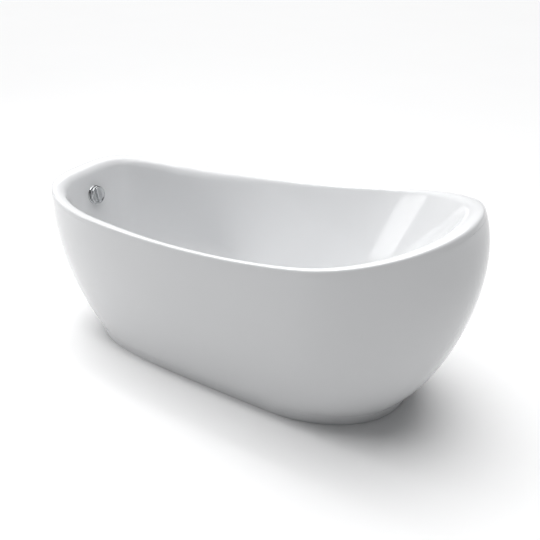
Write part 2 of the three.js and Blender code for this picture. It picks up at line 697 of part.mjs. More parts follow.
function fromOverflow(x, y, z) {
  return new THREE.Vector3(x, y, z).applyMatrix4(overflow.matrixWorld);
}

function hosePoints() {
  const spout = fromOverflow(0, -44, CUP.spoutZ);
  const below = fromOverflow(0, -92, CUP.spoutZ);
  return [[spout.x, 0, spout.z], [below.x, 0, below.z], ...BEHIND_WALL.map(([x, z]) => [x, 0, z]),
    [DRAIN_X - 100, 0, SPIGOT_Z], [DRAIN_X - 36, 0, SPIGOT_Z]];
}

function hoseNut(z0, z1) {
  const bore = HOSE.outer + 4 * GAP;
  return turned([[bore, z0], [19.5, z0], [20.5, z0 + 2], [20.5, z1 - 2], [19.5, z1], [bore, z1]], 16);
}

add(tub, 'overflow_hose', 'pvc', pipe(hosePoints(), HOSE.outer, HOSE.inner, 5, 24));
add(tub, 'hose_nut_top', 'plastic',
  hoseNut(48, 62).rotateX(Math.PI / 2).translate(0, 0, CUP.spoutZ).applyMatrix4(overflow.matrixWorld));
add(tub, 'hose_nut_low', 'plastic',
  hoseNut(43, 56).rotateY(-Math.PI / 2).translate(DRAIN_X, 0, SPIGOT_Z));

function cablePoints() {
  const start = fromOverflow(LEVER.reach, -16, LEVER.z0 + 1);
  const beside = fromOverflow(LEVER.reach + 8, -50, LEVER.z0 + 2);
  const run = BEHIND_WALL.map(([x, z], i) => [x, Math.min(30 + 3 * i, 40), z]);
  return [start.toArray(), beside.toArray(), ...run, [DRAIN_X - 100, 40, SPIGOT_Z - 8],
    [DRAIN_X - 45, 43, SPIGOT_Z - 12], [DRAIN_X - 12, 34, SPIGOT_Z - 14]];
}

add(tub, 'control_cable', 'rubber', pipe(cablePoints(), 3, 0, 4, 36));

// The skirt bulges past the rim more at the head than at the drain end, so the tub is moved along
// until the origin is under its middle.
tub.position.x = -MIDDLE_X;
const bath = new THREE.Group();
bath.add(tub);

export default bath;
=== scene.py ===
import json
import math
import bmesh
import bpy
from mathutils import Matrix, Vector
from mathutils.geometry import interpolate_bezier


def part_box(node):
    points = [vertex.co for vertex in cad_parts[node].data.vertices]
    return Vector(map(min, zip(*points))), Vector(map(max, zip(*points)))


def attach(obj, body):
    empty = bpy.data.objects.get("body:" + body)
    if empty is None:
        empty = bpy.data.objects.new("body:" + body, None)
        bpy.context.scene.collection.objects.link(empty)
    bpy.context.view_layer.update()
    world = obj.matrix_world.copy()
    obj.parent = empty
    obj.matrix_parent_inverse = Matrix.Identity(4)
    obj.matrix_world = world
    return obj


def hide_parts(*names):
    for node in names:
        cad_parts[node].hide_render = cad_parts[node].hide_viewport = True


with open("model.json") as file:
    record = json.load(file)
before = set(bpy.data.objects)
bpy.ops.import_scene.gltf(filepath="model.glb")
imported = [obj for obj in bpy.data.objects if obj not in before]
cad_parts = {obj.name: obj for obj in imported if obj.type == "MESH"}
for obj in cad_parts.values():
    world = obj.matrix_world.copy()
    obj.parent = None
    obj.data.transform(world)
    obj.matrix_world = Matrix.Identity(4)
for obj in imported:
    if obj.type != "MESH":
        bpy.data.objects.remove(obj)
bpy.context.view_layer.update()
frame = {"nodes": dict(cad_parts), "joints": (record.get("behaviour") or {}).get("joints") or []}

# ---- Basin ----
# The inner tub is one sheet of white cast acrylic, heated and drawn into a mould, and backed with
# resin and chopped glass. Its edge rolls over and turns down, so the rim hides the skirt's top.
# Lengths here run from the middle of the rim, which stands a little ahead of the tub's middle.

COLUMNS = 320
BASIN_WALL = 0.006
TO_MIDDLE = Matrix.Translation((-0.0119, 0, 0))

RIM_PLAN = {"back": -0.850, "front": 0.850, "widest": 0.339, "half": 0.372, "square": (3.46, 2.19)}
PLINTH_PLAN = {"back": -0.638, "front": 0.699, "widest": 0.195, "half": 0.330, "square": (4.49, 2.31)}
FLOOR_PLAN = {"back": -0.575, "front": 0.260, "widest": -0.150, "half": 0.172, "square": (3, 3)}
RIM_LOW_X, RIM_LOW_Z = -0.508, 0.593
RIM_BACK_Z, RIM_BACK_POWER = 0.628, 1.94
RIM_HEAD_Z, RIM_HEAD_POWER = 0.777, 2.95
PLINTH_TOP = 0.038
FLARE_OUT, FLARE_UP = (0.676, 1.038), (0.211, 0.242)
BULGE_OUT, BULGE_DOWN = (0.202, 0.599), (0.522, 0.229)
SIDE_BULGE_OUT, SIDE_BULGE_DOWN = 0.167, 0.434
LIP_ROUND = 0.009
LIP_FACE = 0.010
ROLL = {"side": 0.045, "back": 0.048, "head": 0.060}
HEEL = {"side": 0.120, "back": 0.180, "head": 0.280}
FLOOR_AT_DRAIN = 0.118
FALL = 0.011
DRAIN_X = -0.430
DISH_DEPTH, DISH_EDGE = 0.004, 0.046
DISH_STEPS = ((0.043, 0.0022), (0.040, 0.0035), (0.038, DISH_DEPTH), (0.027, DISH_DEPTH))
OVERFLOW_HOLE = 0.026
LIP_STEPS, ROLL_STEPS, WALL_STEPS, HEEL_STEPS, FLOOR_STEPS = 6, 14, 10, 16, 8
CLEAR_EDGE = math.radians(35)


def between(first, second, share):
    return first + (second - first) * share


def squared(value, power):
    return math.copysign(abs(value) ** (2 / power), value)


def head_share(angle, sharpness):
    """0 at the drain end, 1 at the head end, and a quick change between them at the sides."""
    return 0.5 + 0.5 * math.tanh(math.cos(angle) / sharpness)


def egg(angle, plan):
    """A closed egg seen from above: a superellipse that is squarer at the drain end."""
    power = between(*plan["square"], head_share(angle, 0.35))
    along = squared(math.cos(angle), power)
    reach = plan["front"] - plan["widest"] if along > 0 else plan["widest"] - plan["back"]
    across = plan["half"] * squared(math.sin(angle), power)
    return Vector((plan["widest"] + reach * along, across, 0))


def rim_height(x):
    to_head = max(0, (x - RIM_LOW_X) / (RIM_PLAN["front"] - RIM_LOW_X))
    to_back = max(0, (x - RIM_LOW_X) / (RIM_PLAN["back"] - RIM_LOW_X))
    rise_to_head = (RIM_HEAD_Z - RIM_LOW_Z) * to_head ** RIM_HEAD_POWER
    return RIM_LOW_Z + rise_to_head + (RIM_BACK_Z - RIM_LOW_Z) * to_back ** RIM_BACK_POWER


def floor_height(x):
    return FLOOR_AT_DRAIN + FALL * (x - DRAIN_X)


def outer_skin(angle, step):
    """The outside from the top of the plinth, step 0, to the start of the rim's rounding, step 1.
    In section it is one cubic curve, that leaves the plinth outwards and ends near upright."""
    head, side = head_share(angle, 0.5), math.sin(angle) ** 2
    flare_out, flare_up = between(*FLARE_OUT, head), between(*FLARE_UP, head)
    bulge_out = between(between(*BULGE_OUT, head), SIDE_BULGE_OUT, side)
    bulge_down = between(between(*BULGE_DOWN, head), SIDE_BULGE_DOWN, side)
    near, far = 3 * (1 - step) ** 2 * step, 3 * (1 - step) * step ** 2
    out = near * flare_out + far * (1 + bulge_out) + step ** 3
    up = near * flare_up + far * (1 - bulge_down) + step ** 3
    rim = egg(angle, RIM_PLAN)
    place = between(egg(angle, PLINTH_PLAN), rim, out)
    place.z = between(PLINTH_TOP, rim_height(rim.x) - LIP_ROUND, up)
    return place


def step_below(angle, depth):
    """The step of the outside that lies at a depth below the start of the rim's rounding."""
    wanted = outer_skin(angle, 1).z - depth
    low, high = 0.5, 1.0
    for _ in range(26):
        middle = (low + high) / 2
        low, high = (middle, high) if outer_skin(angle, middle).z < wanted else (low, middle)
    return low


def skin_below(angle, depth):
    return outer_skin(angle, step_below(angle, depth))


def rim_normal(angle):
    along = egg(angle + 0.001, RIM_PLAN) - egg(angle - 0.001, RIM_PLAN)
    return Vector((along.y, -along.x, 0)).normalized()


def even_angles():
    """Angles that step evenly along the rim, with a flat, and not an edge, across each end."""
    fine = COLUMNS * 24
    points = [egg(2 * math.pi * i / fine, RIM_PLAN) for i in range(fine + 1)]
    for point in points:
        point.z = rim_height(point.x)
    lengths = [0.0]
    for first, second in zip(points, points[1:]):
        lengths.append(lengths[-1] + (second - first).length)
    angles, i = [], 0
    for column in range(COLUMNS):
        wanted = lengths[-1] * (column + 0.5) / COLUMNS
        while lengths[i + 1] < wanted:
            i += 1
        share = (wanted - lengths[i]) / (lengths[i + 1] - lengths[i])
        angles.append(2 * math.pi * (i + share) / fine)
    return angles


ANGLES = even_angles()


class WallSection:
    """The inside at one place round the rim: a roll off the crown, a straight wall and a heel."""

    def __init__(self, angle):
        start = outer_skin(angle, 1)
        slope = start - outer_skin(angle, 0.995)
        self.start = start
        self.corner = start + slope * (LIP_ROUND / slope.z)
        self.crown = self.corner - rim_normal(angle) * LIP_ROUND
        self.foot = egg(angle, FLOOR_PLAN)
        self.foot.z = floor_height(self.foot.x)
        lean = math.cos(angle)
        end = "head" if lean > 0 else "back"
        self.roll = between(ROLL["side"], ROLL[end], abs(lean) ** 1.5)
        self.heel = between(HEEL["side"], HEEL[end], abs(lean) ** 1.5)
        inward = self.foot - self.crown
        inward.z = 0
        self.run = inward.length
        self.inward = inward.normalized()
        drop = self.crown.z - self.roll - self.foot.z - self.heel
        slant = math.hypot(self.run, drop)
        self.steep = math.atan2(drop, self.run) + math.asin((self.roll + self.heel) / slant)

    def point(self, out, height):
        place = self.crown + self.inward * out
        place.z = height
        return place

    def lip(self, share):
        first = self.start.lerp(self.corner, share)
        return first.lerp(self.corner.lerp(self.crown, share), share)

    def on_roll(self, share):
        turn = self.steep * share
        return self.point(self.roll * math.sin(turn), self.crown.z - self.roll * (1 - math.cos(turn)))

    def on_heel(self, share):
        turn = self.steep * (1 - share)
        out = self.run - self.heel * math.sin(turn)
        return self.point(out, self.foot.z + self.heel * (1 - math.cos(turn)))

    def on_wall(self, share):
        return self.on_roll(1).lerp(self.on_heel(0), share)


def drain_ring(radius, depth=None):
    """A level circle round the drain, or one that lies on the sloping floor."""
    ring = []
    for angle in ANGLES:
        x = DRAIN_X + radius * math.cos(angle)
        height = floor_height(x) if depth is None else FLOOR_AT_DRAIN - depth
        ring.append(Vector((x, radius * math.sin(angle), height)))
    return ring


def basin_rings():
    """From the lip's lower edge, over the rim, down the wall and over the floor to the drain."""
    walls = [WallSection(angle) for angle in ANGLES]
    rings = [[skin_below(angle, LIP_FACE * share) for angle in ANGLES] for share in (1, 0.5)]
    rings += [[wall.lip(i / LIP_STEPS) for wall in walls] for i in range(LIP_STEPS)]
    rings += [[wall.on_roll(i / ROLL_STEPS) for wall in walls] for i in range(ROLL_STEPS + 1)]
    rings += [[wall.on_wall(i / WALL_STEPS) for wall in walls] for i in range(1, WALL_STEPS)]
    rings += [[wall.on_heel(i / HEEL_STEPS) for wall in walls] for i in range(HEEL_STEPS + 1)]
    edge = drain_ring(DISH_EDGE)
    for i in range(1, FLOOR_STEPS):
        rings.append([wall.foot.lerp(place, i / FLOOR_STEPS) for wall, place in zip(walls, edge)])
    return rings + [edge] + [drain_ring(radius, depth) for radius, depth in DISH_STEPS]


def as_piece(name, shape):
    """Turns a finished bmesh into an object, smooth except where two faces meet at a clear edge."""
    mesh = bpy.data.meshes.new(name)
    shape.to_mesh(mesh)
    shape.free()
    mesh.shade_smooth()
    mesh.set_sharp_from_angle(angle=CLEAR_EDGE)
    piece = bpy.data.objects.new(name, mesh)
    bpy.context.scene.collection.objects.link(piece)
    return piece


def loft(name, rings, place):
    """A skin grown from a circle, extruded ring by ring, with its faces turned to the seen side."""
    shell = bmesh.new()
    ring = bmesh.ops.create_circle(shell, segments=len(rings[0]), radius=1)["verts"]
    for vertex, spot in zip(ring, rings[0]):
        vertex.co = spot
    for spots in rings[1:]:
        edges = [shell.edges.get(pair) for pair in zip(ring, ring[1:] + ring[:1])]
        grown = set(bmesh.ops.extrude_edge_only(shell, edges=edges)["geom"])
        ring = [next(e.other_vert(v) for e in v.link_edges if e.other_vert(v) in grown) for v in ring]
        for vertex, spot in zip(ring, spots):
            vertex.co = spot
    shell.normal_update()
    shell.faces.ensure_lookup_table()
    outwards = shell.faces[0].calc_center_median() - sum(rings[0], Vector()) / len(rings[0])
    if shell.faces[0].normal.dot(outwards) < 0:
        bmesh.ops.reverse_faces(shell, faces=shell.faces)
    bmesh.ops.transform(shell, matrix=place, verts=shell.verts)
    return as_piece(name, shell)


def settle(piece):
    """Makes a piece's modifiers part of its mesh and marks its clear edges again."""
    shaped = piece.evaluated_get(bpy.context.evaluated_depsgraph_get())
    mesh = bpy.data.meshes.new_from_object(shaped)
    mesh.set_sharp_from_angle(angle=CLEAR_EDGE)
    piece.modifiers.clear()
    piece.data = mesh


def thicken(piece, wall):
    """Gives a skin its wall, on the side away from view. The back takes the second material."""
    solid = piece.modifiers.new("Wall", "SOLIDIFY")
    solid.thickness = wall
    solid.offset = -1
    solid.material_offset = 1
    settle(piece)


def cut_away(piece, tool):
    cutter = piece.modifiers.new("Cut", "BOOLEAN")
    cutter.operation = "DIFFERENCE"
    cutter.solver = "EXACT"
    cutter.object = tool
    settle(piece)
    bpy.data.objects.remove(tool)


class Socket:
    """A link in a material, with the arithmetic that adds Math nodes."""

    def __init__(self, finish, link):
        self.finish, self.link = finish, link

    def math(self, operation, first, second):
        return self.finish.node("ShaderNodeMath", {"operation": operation}, {0: first, 1: second})

    def __add__(self, other):
        return self.math("ADD", self, other)

    def __radd__(self, other):
        return self.math("ADD", other, self)

    def __sub__(self, other):
        return self.math("SUBTRACT", self, other)

    def __rsub__(self, other):
        return self.math("SUBTRACT", other, self)

    def __mul__(self, other):
        return self.math("MULTIPLY", self, other)

    def __rmul__(self, other):
        return self.math("MULTIPLY", other, self)


class Finish:
    """A material: one Principled surface, and the nodes that vary it over the piece."""

    def __init__(self, name, **constants):
        self.material = bpy.data.materials.new(name)
        self.material.use_nodes = True
        self.tree = self.material.node_tree
        self.surface = self.tree.nodes["Principled BSDF"]
        for socket, value in constants.items():
            self.surface.inputs[socket.replace("_", " ")].default_value = value
        self.place = self.node("ShaderNodeTexCoord", out="Object")

    def node(self, kind, settings=None, sockets=None, out=0):
        made = self.tree.nodes.new(kind)
        for name, value in (settings or {}).items():
            setattr(made, name, value)
        for name, value in (sockets or {}).items():
            if isinstance(value, Socket):
                self.tree.links.new(value.link, made.inputs[name])
            else:
                made.inputs[name].default_value = value
        return Socket(self, made.outputs[out])

    def stretched(self, scale, turn=(0, 0, 0)):
        """The piece's own coordinates, turned and scaled by axis."""
        return self.node("ShaderNodeMapping", None, {"Vector": self.place, "Rotation": turn, "Scale": scale})

    def noise(self, scale, detail=3, at=None):
        sockets = {"Vector": at or self.place, "Scale": scale, "Detail": detail}
        return self.node("ShaderNodeTexNoise", None, sockets)

    def cells(self, scale, feature="F1", out="Distance", at=None):
        sockets = {"Vector": at or self.place, "Scale": scale}
        return self.node("ShaderNodeTexVoronoi", {"feature": feature}, sockets, out)

    def spread(self, value, low, high):
        """Spreads what lies between two levels over 0 to 1."""
        return self.node("ShaderNodeMapRange", None, {"Value": value, "From Min": low, "From Max": high})

    def mix(self, share, first, second):
        """A colour between two others, each an (r, g, b, 1) or a link."""
        return self.node("ShaderNodeMix", {"data_type": "RGBA"}, {0: share, 6: first, 7: second}, 2)

    def feed(self, socket, value):
        self.tree.links.new(value.link, self.surface.inputs[socket])

    def bump(self, height, distance):
        sockets = {"Height": height, "Distance": distance}
        self.feed("Normal", self.node("ShaderNodeBump", None, sockets, "Normal"))


def colour(red, green, blue):
    return (red, green, blue, 1)


def polished_acrylic():
    """White and glossy, with the slow waves of a drawn sheet and the faint marks of polishing."""
    finish = Finish("polished_acrylic", IOR=1.49, Coat_Roughness=0.03)
    cast = finish.noise(2.5)
    marks = finish.noise(38, 6)
    finish.feed("Base Color", finish.mix(cast, colour(0.70, 0.706, 0.715), colour(0.725, 0.73, 0.738)))
    finish.feed("Roughness", finish.spread(marks, 0.3, 0.8) * 0.05 + 0.09)
    finish.bump(finish.noise(7, 1) + finish.noise(420, 2) * 0.01, 0.0006)
    return finish


def glass_laminate():
    """Chopped strands of glass in polyester resin, rolled on by hand behind the acrylic."""
    finish = Finish("glass_laminate", IOR=1.55, Coat_Weight=0.3, Coat_Roughness=0.25)
    strands = finish.cells(9, at=finish.stretched((6, 40, 12), (0.3, 0.9, 0.2)))
    crossed = finish.cells(9, at=finish.stretched((38, 7, 12), (0.5, 0.1, 1.1)))
    slanted = finish.cells(9, at=finish.stretched((14, 9, 40), (1.2, 0.4, 0.6)))
    mat = finish.spread(strands * crossed * slanted, 0.0, 0.22)
    pooled = finish.spread(finish.noise(11), 0.35, 0.7)
    resin = finish.mix(pooled, colour(0.47, 0.45, 0.33), colour(0.58, 0.57, 0.46))
    finish.feed("Base Color", finish.mix(mat, colour(0.74, 0.74, 0.68), resin))
    finish.feed("Roughness", mat * 0.2 + 0.35)
    finish.bump(1 - mat + finish.noise(30) * 0.8, 0.0012)
    return finish


acrylic, laminate = polished_acrylic(), glass_laminate()

basin = loft("inner_basin", basin_rings(), TO_MIDDLE)
for finish in (acrylic, laminate):
    basin.data.materials.append(finish.material)
thicken(basin, BASIN_WALL)

overflow_joint = next(joint for joint in frame["joints"] if joint["name"] == "knob_turn")
seat_facing = Vector(overflow_joint["axis"]).normalized()
seat_across = Vector((0, 1, 0))
seat_turn = Matrix((seat_across, seat_facing.cross(seat_across), seat_facing)).transposed().to_4x4()
OVERFLOW_SEAT = Matrix.Translation(overflow_joint["pos_m"]) @ seat_turn

drill = bmesh.new()
bmesh.ops.create_cone(drill, cap_ends=True, segments=64, radius1=OVERFLOW_HOLE, radius2=OVERFLOW_HOLE,
                      depth=0.05, matrix=OVERFLOW_SEAT)
cut_away(basin, as_piece("overflow_drill", drill))
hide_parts("basin")
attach(basin, "tub")

# ---- Base board ----
# A panel of chipboard pressed into the wet laminate under the basin's floor, so that the floor
# doesn't give underfoot and the frame's screws have something to hold in.


MERGE_WITHIN = 1e-6
FLAT_WITHIN = math.radians(1)
BEVEL_FROM = math.radians(28)


def softened(name, node, finish, width):
    """The CAD shape over again, with its flat faces whole and its clear edges eased."""
    shape = bmesh.new()
    shape.from_mesh(frame["nodes"][node].data)
    bmesh.ops.remove_doubles(shape, verts=shape.verts, dist=MERGE_WITHIN)
    bmesh.ops.dissolve_limit(shape, angle_limit=FLAT_WITHIN, verts=shape.verts, edges=shape.edges)
    piece = as_piece(name, shape)
    ease(piece, width)
    piece.data.materials.clear()
    piece.data.materials.append(finish.material)
    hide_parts(node)
    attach(piece, "tub")


def ease(piece, width, segments=3):
    """Rounds the clear edges a little, as a mould or a die leaves them."""
    bevel = piece.modifiers.new("Ease", "BEVEL")
    bevel.width = width
    bevel.segments = segments
    bevel.limit_method = "ANGLE"
    bevel.angle_limit = BEVEL_FROM
    settle(piece)


def chipboard():
    finish = Finish("chipboard", IOR=1.45)
    chips = finish.cells(140, out="Color", at=finish.stretched((1, 0.45, 1), (0, 0, 0.6)))
    dust = finish.noise(700, 4)
    tone = finish.node("ShaderNodeSeparateColor", None, {0: chips})
    pale = finish.mix(tone, colour(0.50, 0.34, 0.18), colour(0.70, 0.53, 0.32))
    grime = finish.spread(dust, 0.35, 0.65) * 0.5
    finish.feed("Base Color", finish.mix(grime, pale, colour(0.36, 0.23, 0.12)))
    finish.feed("Roughness", dust * 0.2 + 0.65)
    finish.bump(tone + dust * 0.6, 0.0004)
    return finish


PANEL_EDGE = 0.0012
softened("chipboard_panel", "base_board", chipboard(), PANEL_EDGE)

# ---- Steel frame ----
# Two rails run along the board and three cross members over them, all of square-cut box tube,
# hot-dip galvanised, so the zinc has frozen in flat spangles. Bent straps reach out to the skirt.


def galvanised_steel():
    finish = Finish("galvanised_steel", Metallic=1.0)
    spangle = finish.node("ShaderNodeSeparateColor", None, {0: finish.cells(75, out="Color")})
    edge = finish.spread(finish.cells(75, "DISTANCE_TO_EDGE"), 0.0, 0.06)
    bloom = finish.spread(finish.noise(14, 5), 0.5, 0.75)
    clean = finish.mix(spangle, colour(0.46, 0.48, 0.50), colour(0.66, 0.68, 0.70))
    finish.feed("Base Color", finish.mix(bloom * 0.5, clean, colour(0.72, 0.73, 0.73)))
    finish.feed("Roughness", spangle * 0.18 + bloom * 0.2 + 0.28)
    finish.bump(edge * 0.4 + finish.noise(260) * 0.3, 0.0002)
    return finish


galvanised = galvanised_steel()
TUBE_EDGE, STRAP_EDGE = 0.0006, 0.0005
for side in ("near", "far"):
    softened(f"box_rail_{side}", f"rail_{side}", galvanised, TUBE_EDGE)
for i in (1, 2, 3):
    softened(f"box_cross_{i}", f"cross_member_{i}", galvanised, TUBE_EDGE)
for i in (1, 2, 3, 4):
    softened(f"bent_strap_{i}", f"skirt_bracket_{i}", galvanised, STRAP_EDGE)

# ---- Levelling feet ----
# Each foot is a moulded rubber pad on a threaded stud, which is screwed up or down in the cross
# member to level the tub and is then held by a lock nut. The studs and nuts are zinc-plated steel.

MM = 0.001
PAD_OUTLINE = [(0, 0), (22.6, 0), (24, 1.2), (24, 4), (22, 6.5), (19, 9), (13.5, 11), (10, 14), (8, 14),
               (8, 5), (0, 5)]
STUD_RADIUS, STUD_POINT = 6, 1.5
SWIVEL_RADIUS, SWIVEL_LOW, SWIVEL_TOP = 7.7, 5.3, 10
THREAD_PITCH, THREAD_DEPTH = 1.75, 0.95
THREAD_START, THREAD_STOP = 14, 2
NUT_EASE = 0.2
NUT_BORE, NUT_FLAT, NUT_CORNER, NUT_CHAMFER = 6.15, 9.5, 10.97, 1.1


def turned(name, outlines, place, finish, sides=64, edge=0.0003):
    """Turns outlines of (radius, height) points, in millimetres, about their own upright axis.
    An outline that starts off the axis closes on itself, and one that starts on it ends there."""
    shape = bmesh.new()
    for outline in outlines:
        corners = [shape.verts.new((radius * MM, 0, height * MM)) for radius, height in outline]
        loop = corners + corners[:1] if outline[0][0] > 0 else corners
        edges = [shape.edges.new(pair) for pair in zip(loop, loop[1:])]
        bmesh.ops.spin(shape, geom=corners + edges, cent=(0, 0, 0), axis=(0, 0, 1),
                       angle=2 * math.pi, steps=sides, use_merge=True)
    bmesh.ops.remove_doubles(shape, verts=shape.verts, dist=MERGE_WITHIN)
    bmesh.ops.recalc_face_normals(shape, faces=shape.faces)
    piece = as_piece(name, shape)
    if edge:
        ease(piece, edge)
    piece.data.materials.append(finish.material)
    piece.data.transform(place)
    return piece


def fitted(piece, node, body="tub"):
    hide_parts(node)
    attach(piece, body)


def bright_zinc():
    finish = Finish("bright_zinc", Metallic=1.0)
    haze = finish.noise(180, 5)
    tint = finish.spread(finish.noise(60), 0.4, 0.7)
    finish.feed("Base Color", finish.mix(tint, colour(0.62, 0.64, 0.67), colour(0.72, 0.71, 0.66)))
    finish.feed("Roughness", haze * 0.25 + 0.16)
    finish.bump(haze, 0.00006)
    return finish


def black_rubber():
    finish = Finish("black_rubber", IOR=1.5)
    dust = finish.spread(finish.noise(45, 6), 0.45, 0.75)
    finish.feed("Base Color", finish.mix(dust, colour(0.012, 0.012, 0.013), colour(0.045, 0.044, 0.042)))
    finish.feed("Roughness", dust * 0.2 + 0.6)
    finish.bump(finish.noise(900, 2), 0.00012)
    return finish


zinc, rubber = bright_zinc(), black_rubber()


def thread_outline(top):
    """A stud's edge from its swivel foot up: crests and roots at the thread's pitch."""
    edge = [(0, SWIVEL_LOW), (SWIVEL_RADIUS, SWIVEL_LOW), (SWIVEL_RADIUS, SWIVEL_TOP),
            (STUD_RADIUS, SWIVEL_TOP), (STUD_RADIUS, THREAD_START - THREAD_PITCH / 2)]
    height = THREAD_START
    while height < top - THREAD_STOP:
        edge += [(STUD_RADIUS - THREAD_DEPTH, height), (STUD_RADIUS, height + THREAD_PITCH / 2)]
        height += THREAD_PITCH
    return edge + [(STUD_RADIUS - STUD_POINT, top), (0, top)]


def cut_hexagon(shape):
    """Brings the part of a nut that stands past its flats in to six flats."""
    for vertex in shape.verts:
        radius, angle = vertex.co.xy.length, math.atan2(vertex.co.y, vertex.co.x)
        if radius > (NUT_FLAT + 0.01) * MM:
            flat = NUT_FLAT * MM / math.cos(angle % math.radians(60) - math.radians(30))
            vertex.co.xy *= flat / radius


def hexagon_nut(name, high, place, finish):
    face = NUT_FLAT - NUT_EASE
    outline = [(NUT_BORE, 0), (face, 0), (NUT_CORNER, NUT_CHAMFER), (NUT_CORNER, high - NUT_CHAMFER),
               (face, high), (NUT_BORE, high)]
    nut = turned(name, [outline], Matrix(), finish, sides=72, edge=0)
    shape = bmesh.new()
    shape.from_mesh(nut.data)
    cut_hexagon(shape)
    shape.to_mesh(nut.data)
    shape.free()
    nut.data.transform(place)
    return nut


for i in (1, 2, 3, 4):
    low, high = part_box(f"foot_{i}_pad")
    under_foot = Matrix.Translation(((low.x + high.x) / 2, (low.y + high.y) / 2, 0))
    body = f"foot_{i}"
    pad = turned(f"moulded_pad_{i}", [PAD_OUTLINE], under_foot, rubber)
    fitted(pad, f"foot_{i}_pad", body)
    stud_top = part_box(f"foot_{i}_stud")[1].z / MM
    stud = turned(f"threaded_stud_{i}", [thread_outline(stud_top)], under_foot, zinc, sides=40, edge=0)
    fitted(stud, f"foot_{i}_stud", body)
    nut_low, nut_high = (corner.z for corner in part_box(f"foot_{i}_lock_nut"))
    nut = hexagon_nut(f"hexagon_nut_{i}", (nut_high - nut_low) / MM,
                      under_foot @ Matrix.Translation((0, 0, nut_low)), zinc)
    fitted(nut, f"foot_{i}_lock_nut")

# ---- Frame screws ----
# Zinc-plated, with pan heads: six go up through the rails into the board, and four hold the straps
# down on the cross members.


def dress(finish, *names):
    """Gives a finish to nodes that keep the shape they came with."""
    for name in names:
        frame["nodes"][name].material_slots[0].material = finish.material


dress(zinc, *(f"rail_screw_{i}" for i in range(1, 7)))
dress(zinc, *(f"bracket_screw_{i}" for i in range(1, 5)))

# ---- Drain flange ----
# Cast brass, turned and chromium-plated. Its rim lies in the floor's shallow dish, its throat goes
# down through the floor, and three spokes hold the hub that guides the plug's pin.

DRAIN = TO_MIDDLE @ Matrix.Translation((DRAIN_X, 0, FLOOR_AT_DRAIN - DISH_DEPTH))
THROAT_IN, THROAT_OUT, THROAT_LOW = 23, 26, -30
PIN_RADIUS, HUB_RADIUS = 3, 6
HUB_LOW, HUB_TOP = -12, -3
SPOKE_LOW, SPOKE_TOP, SPOKE_HALF = -10, -4, 1.2
SLIDING, FITTING = 0.3, 0.15


def bright_chrome():
    finish = Finish("bright_chrome", Metallic=1.0)
    film = finish.noise(26, 5)
    wipes = finish.noise(90, 3, finish.stretched((1, 5, 1), (0.4, 0, 0.3)))
    finish.feed("Base Color", finish.mix(film, colour(0.50, 0.51, 0.52), colour(0.57, 0.58, 0.585)))
    finish.feed("Roughness", finish.spread(wipes, 0.45, 0.8) * 0.04 + 0.03)
    finish.bump(finish.noise(120, 2), 0.00001)
    return finish


chrome = bright_chrome()


def fuse(piece, tool):
    """Joins a second shape to a piece, as one body."""
    union = piece.modifiers.new("Join", "BOOLEAN")
    union.operation = "UNION"
    union.solver = "EXACT"
    union.object = tool
    settle(piece)
    bpy.data.objects.remove(tool)


def block(name, low, high, turn=Matrix()):
    """A straight bar between two corners, in millimetres, then turned."""
    shape = bmesh.new()
    bmesh.ops.create_cube(shape, size=1)
    size = [b - a for a, b in zip(low, high)]
    middle = [(a + b) / 2 for a, b in zip(low, high)]
    bmesh.ops.transform(shape, verts=shape.verts, matrix=turn @ Matrix.Scale(MM, 4)
                        @ Matrix.Translation(middle) @ Matrix.Diagonal((*size, 1)))
    return as_piece(name, shape)


flange_outline = [(THROAT_IN, THROAT_LOW), (THROAT_OUT, THROAT_LOW), (THROAT_OUT, 2.1), (36, 2.1), (37, 3),
                  (36, 4), (30, 4.4), (THROAT_IN, 2.4)]
hub_bore = PIN_RADIUS + SLIDING
hub_outline = [(hub_bore, HUB_LOW), (HUB_RADIUS, HUB_LOW), (HUB_RADIUS, HUB_TOP), (hub_bore, HUB_TOP)]
flange = turned("chrome_flange", [flange_outline], Matrix(), chrome, sides=96)
hub = turned("hub", [hub_outline], Matrix(), chrome, sides=48)
for i in range(3):
    spoke = block("spoke", (HUB_RADIUS - 1.5, -SPOKE_HALF, SPOKE_LOW), (THROAT_IN + 1, SPOKE_HALF, SPOKE_TOP),
                  Matrix.Rotation(i * 2 * math.pi / 3, 4, "Z"))
    spoke.data.materials.append(chrome.material)
    fuse(hub, spoke)
fuse(flange, hub)
flange.data.transform(DRAIN)
fitted(flange, "drain_flange")

# ---- Plug ----
# A chromed dome with a rubber seal clipped under it, on a steel pin. The cable under the floor
# pushes the pin up by a finger's width.

PIN_LOW, PIN_TOP = -38, 11
plug_bore = PIN_RADIUS + FITTING
dome = [(0, 11.3), (plug_bore, 11.3), (plug_bore, 7.4), (30.5, 7.4), (31.6, 7.9), (32, 8.6), (31.7, 9.6),
        (31, 10.4), (28, 11.6), (24, 12.6), (18, 13.5), (12, 14), (6, 14.25), (0, 14.3)]
plug = turned("domed_plug", [dome], DRAIN, chrome, sides=96, edge=0)
fitted(plug, "drain_plug", "plug")
seal_outline = [(plug_bore, 4.9), (28, 4.9), (28.6, 6), (28, 7.1), (plug_bore, 7.1)]
seal = turned("lip_seal", [seal_outline], DRAIN, rubber)
fitted(seal, "plug_seal", "plug")
pin_outline = [(0, PIN_LOW), (PIN_RADIUS - 1, PIN_LOW), (PIN_RADIUS, PIN_LOW + 1), (PIN_RADIUS, PIN_TOP),
               (0, PIN_TOP)]
pin = turned("plug_pin", [pin_outline], DRAIN, zinc, sides=32, edge=0)
fitted(pin, "lift_pin", "plug")

# ---- Drain gaskets ----
# Two flat rubber rings, one in the dish under the flange's rim and one against the laminate below.

